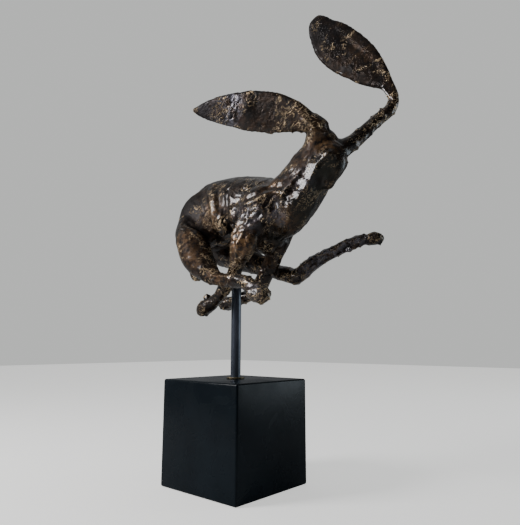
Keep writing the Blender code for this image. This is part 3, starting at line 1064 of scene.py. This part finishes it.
def turned(name, profile):
    """Spins a profile of (radius, height), run from top to bottom, about Z."""
    mesh = bpy.data.meshes.new(name)
    verts = [(radius, 0, height) for radius, height in profile]
    mesh.from_pydata(verts, [(i, i + 1) for i in range(len(verts) - 1)], [])
    obj = add_object(name, mesh)
    spin = obj.modifiers.new("spin", "SCREW")
    spin.steps = spin.render_steps = TURNING_STEPS
    spin.use_merge_vertices = True
    spin.merge_threshold = WELD
    spin.use_smooth_shade = True
    made_plain(obj)
    with cage_of(obj.data) as cage:
        bmesh.ops.remove_doubles(cage, verts=cage.verts, dist=WELD)
        bmesh.ops.recalc_face_normals(cage, faces=cage.faces)
    smooth_but_sharp(obj, 35)
    return obj


def make_rod():
    top, bottom = ROD_HIGH.z, ROD_LOW.z
    c = ROD_CHAMFER
    profile = [(0, top), (ROD_RADIUS - c, top), (ROD_RADIUS, top - c)]
    profile += [(ROD_RADIUS, bottom + c), (ROD_RADIUS - c, bottom), (0, bottom)]
    return turned("rod_steel", profile)


def make_rod_black():
    made, tree, shader = new_material(
        "rod_blackened", Metallic=0.55, Coat_Weight=0.25, Coat_Roughness=0.2
    )
    place = object_place(tree)
    stretch = new_node(tree, "ShaderNodeMapping", Vector=place, Scale=(1.0, 1.0, 0.08))
    along_it = stretch.outputs["Vector"]
    drawn = use_group(tree, FINE_GRAIN, along_it, Grains_per_metre=1400.0, Broad_share=0.6)
    cloud = remap(tree, noise(tree, place, 60.0, 3.0, 0.6), 0.35, 0.7)
    colour = mixed(tree, cloud, ROD_DARK, ROD_PALE)
    rough = remap(tree, drawn.outputs["Mask"], 0.0, 1.0, 0.26, 0.42)
    fed(tree, shader, Base_Color=colour, Roughness=rough)
    bump(tree, shader, drawn.outputs["Height"], ROD_BUMP)
    return made


rod = make_rod()
finished(rod, "rod", make_rod_black())

# %% [markdown]
# ## The collar
# A thin pressed washer sits round the rod's foot. It is a ring whose shape follows a
# rule, a rounded section swept round a circle, so Geometry Nodes make it: two curves
# and Curve to Mesh, with the radii and the thickness as inputs.

# %% Collar
COLLAR_OUTER = (COLLAR_HIGH.x - COLLAR_LOW.x) / 2
COLLAR_GAP = 0.3 * MM
COLLAR_ROUNDING = 0.45 * MM
COLLAR_DARK, COLLAR_BROWN = (0.060, 0.052, 0.036), (0.16, 0.135, 0.085)
COLLAR_WORN = (0.34, 0.28, 0.17)
COLLAR_BUMP = 0.05 * MM


def make_collar_tree():
    labels = ("Middle_radius", "Section_width", "Section_height", "Rounding", "Height_of_middle")
    tree, given, out = geometry_tree("swept_washer", **dict.fromkeys(labels, "Float"))
    circle = new_node(tree, "GeometryNodeCurvePrimitiveCircle", Resolution=TURNING_STEPS)
    fed(tree, circle, Radius=given["Middle radius"])
    section = new_node(tree, "GeometryNodeCurvePrimitiveQuadrilateral")
    fed(tree, section, Width=given["Section width"], Height=given["Section height"])
    rounded = tree.nodes.new("GeometryNodeFilletCurve")
    rounded.mode = "POLY"
    fed(tree, rounded, Curve=section.outputs["Curve"], Count=4, Radius=given["Rounding"])
    swept = new_node(tree, "GeometryNodeCurveToMesh", Curve=circle.outputs["Curve"])
    fed(tree, swept, Profile_Curve=rounded.outputs["Curve"])
    up = new_node(tree, "ShaderNodeCombineXYZ", Z=given["Height of middle"])
    lift = new_node(tree, "GeometryNodeTransform", Geometry=swept.outputs["Mesh"])
    fed(tree, lift, Translation=up.outputs["Vector"])
    fed(tree, out, Geometry=lift.outputs["Geometry"])
    return tree


def make_collar_brass():
    made, tree, shader = new_material("collar_dulled", Metallic=0.9)
    place = object_place(tree)
    marks = use_group(
        tree, WORM_MARKS, place, Marks_per_metre=600.0, Line_width=0.08, Patchiness=0.45
    )
    grain = use_group(tree, FINE_GRAIN, place, Grains_per_metre=2500.0, Broad_share=0.5)
    dulled = mixed(tree, grain.outputs["Mask"], COLLAR_DARK, COLLAR_BROWN)
    colour = mixed(tree, marks.outputs["Mask"], dulled, COLLAR_WORN)
    rough = remap(tree, grain.outputs["Mask"], 0.0, 1.0, 0.3, 0.5)
    fed(tree, shader, Base_Color=colour, Roughness=rough)
    bump(tree, shader, grain.outputs["Height"], COLLAR_BUMP)
    return made


collar = add_object("collar_ring", bpy.data.meshes.new("collar_ring"))
inner = ROD_RADIUS + COLLAR_GAP
run_tree(
    collar,
    make_collar_tree(),
    Middle_radius=(inner + COLLAR_OUTER) / 2,
    Section_width=COLLAR_OUTER - inner,
    Section_height=COLLAR_HIGH.z - COLLAR_LOW.z,
    Rounding=COLLAR_ROUNDING,
    Height_of_middle=(COLLAR_HIGH.z + COLLAR_LOW.z) / 2,
)
smooth_but_sharp(collar, 50)
finished(collar, "rod_collar", make_collar_brass())

# %% [markdown]
# ## The block
# A cube of wood, filled, sanded and sprayed satin black. Its edges are eased by the
# sanding, and they catch a thin light. A cube with a Bevel modifier gives the easing,
# and a Boolean takes out the hole that the rod stands in.

# %% Block
BLOCK_EASING = 2.0 * MM
HOLE_FLOOR = ROD_LOW.z - COLLAR_GAP
HOLE_STEPS = 48
BLOCK_DARK, BLOCK_PALE = (0.0040, 0.0075, 0.0110), (0.0080, 0.0135, 0.0185)
BLOCK_BUMP = 0.04 * MM


def make_block():
    middle = Matrix.Translation((BLOCK_LOW + BLOCK_HIGH) / 2)
    sized = Matrix.Diagonal((*(BLOCK_HIGH - BLOCK_LOW), 1.0))
    mesh = bpy.data.meshes.new("block_painted")
    with cage_of(mesh) as cage:
        bmesh.ops.create_cube(cage, size=1.0, matrix=middle @ sized)
    block = add_object("block_painted", mesh)
    easing = block.modifiers.new("eased", "BEVEL")
    easing.width = BLOCK_EASING
    easing.segments = 5
    easing.limit_method = "ANGLE"
    made_plain(block)
    depth = 2 * (BLOCK_HIGH.z - HOLE_FLOOR)
    shape = {"segments": HOLE_STEPS, "radius1": inner, "radius2": inner, "depth": depth}
    lifted = Matrix.Translation((0, 0, HOLE_FLOOR + depth / 2))
    hole = add_object("hole", bpy.data.meshes.new("hole"))
    with cage_of(hole.data) as cage:
        bmesh.ops.create_cone(cage, cap_ends=True, matrix=lifted, **shape)
    drilled = block.modifiers.new("drilled", "BOOLEAN")
    drilled.operation = "DIFFERENCE"
    drilled.solver = "EXACT"
    drilled.object = hole
    made_plain(block)
    bpy.data.objects.remove(hole)
    smooth_but_sharp(block, 30)
    return block


def make_block_black():
    made, tree, shader = new_material("block_satin_black", Specular_IOR_Level=0.13)
    place = object_place(tree)
    grain = use_group(tree, FINE_GRAIN, place, Grains_per_metre=800.0, Broad_share=0.7)
    cloud = remap(tree, noise(tree, place, 14.0, 3.0, 0.6), 0.35, 0.7)
    colour = mixed(tree, cloud, BLOCK_DARK, BLOCK_PALE)
    smears = remap(tree, noise(tree, place, 26.0, 5.0, 0.65, 0.8), 0.35, 0.7, 0.22, 0.34)
    fed(tree, shader, Base_Color=colour, Roughness=smears)
    bump(tree, shader, grain.outputs["Height"], BLOCK_BUMP)
    return made


block = make_block()
finished(block, "block", make_block_black())

# %% [markdown]
# ## Floor and light
# The floor is plain and pale. A bright window stands to the left and above the camera,
# where the picture's white highlights on the neck and shoulder say that it was. Weaker
# lights fill from behind on the right and from above, and the room itself is a little
# brighter on the left.

# %% Floor
FLOOR_SIZE = 6.0
FLOOR_DROP = 0.2 * MM
FLOOR_LIT, FLOOR_SEEN = (0.58, 0.58, 0.57), (0.80, 0.80, 0.78)
FLOOR_GLOW = 0.74


def make_floor():
    mesh = bpy.data.meshes.new("floor")
    with cage_of(mesh) as cage:
        bmesh.ops.create_grid(cage, x_segments=1, y_segments=1, size=FLOOR_SIZE / 2)
    floor = add_object("floor", mesh)
    floor.location.z = -FLOOR_DROP
    made, tree, shader = new_material("floor_pale", Roughness=0.8)
    seen = tree.nodes.new("ShaderNodeLightPath").outputs["Is Camera Ray"]
    colour = mixed(tree, seen, FLOOR_LIT, FLOOR_SEEN)
    glow = product(tree, seen, FLOOR_GLOW)
    fed(tree, shader, Base_Color=colour, Emission_Strength=glow)
    fed(tree, shader, Emission_Color=(1.0, 1.0, 0.98, 1.0))
    floor.data.materials.append(made)


make_floor()
print("floor", FLOOR_SIZE, "m wide")

# %% Lights
LIGHTS = [
    # name, place, aim, width, height, watts, colour
    ("window_left", tuple(WINDOW), (0.05, 0.0, 0.27), 0.30, 0.32, 8.5, (1.0, 0.985, 1.0)),
    ("fill_right", (0.95, 1.05, 0.35), (0.0, 0.0, 0.10), 0.8, 0.6, 4.4, (0.80, 0.92, 1.0)),
    ("overhead", (-0.3, 0.7, 2.4), (0.0, 0.0, 0.0), 2.4, 2.4, 4.5, (1.0, 1.0, 1.0)),
]
WALL_WAY = (-0.85, -0.30, 0.43)
ROOM_FRONT = (0.050, 0.050, 0.052)
ROOM_BACK = (0.26, 0.27, 0.28)
BACKGROUND = (0.60, 0.61, 0.60)


def make_room(world):
    """Light from a pale wall behind and a dim room in front, before a plain background."""
    tree = world.node_tree
    out = tree.nodes["World Output"]
    sky = tree.nodes["Background"]
    way = tree.nodes.new("ShaderNodeTexCoord").outputs["Generated"]
    facing = vector_node(tree, "DOT_PRODUCT", way, WALL_WAY).outputs["Value"]
    fed(tree, sky, Color=mixed(tree, remap(tree, facing, -0.3, 1.0), ROOM_FRONT, ROOM_BACK))
    plain = new_node(tree, "ShaderNodeBackground", Color=(*BACKGROUND, 1.0))
    seen = tree.nodes.new("ShaderNodeLightPath").outputs["Is Camera Ray"]
    either = tree.nodes.new("ShaderNodeMixShader")
    tree.links.new(seen, either.inputs[0])
    tree.links.new(sky.outputs[0], either.inputs[1])
    tree.links.new(plain.outputs[0], either.inputs[2])
    tree.links.new(either.outputs[0], out.inputs["Surface"])


def add_light(name, place, aim, width, height, watts, colour):
    lamp = bpy.data.lights.new(name, "AREA")
    lamp.shape = "RECTANGLE"
    lamp.size, lamp.size_y = width, height
    lamp.energy = watts
    lamp.color = colour
    obj = add_object(name, lamp)
    obj.location = place
    obj.rotation_euler = (Vector(aim) - Vector(place)).to_track_quat("-Z", "Y").to_euler()


for settings in LIGHTS:
    add_light(*settings)
world = bpy.data.worlds.new("pale_room")
bpy.context.scene.world = world
world.use_nodes = True
make_room(world)
print(len(LIGHTS), "lights")
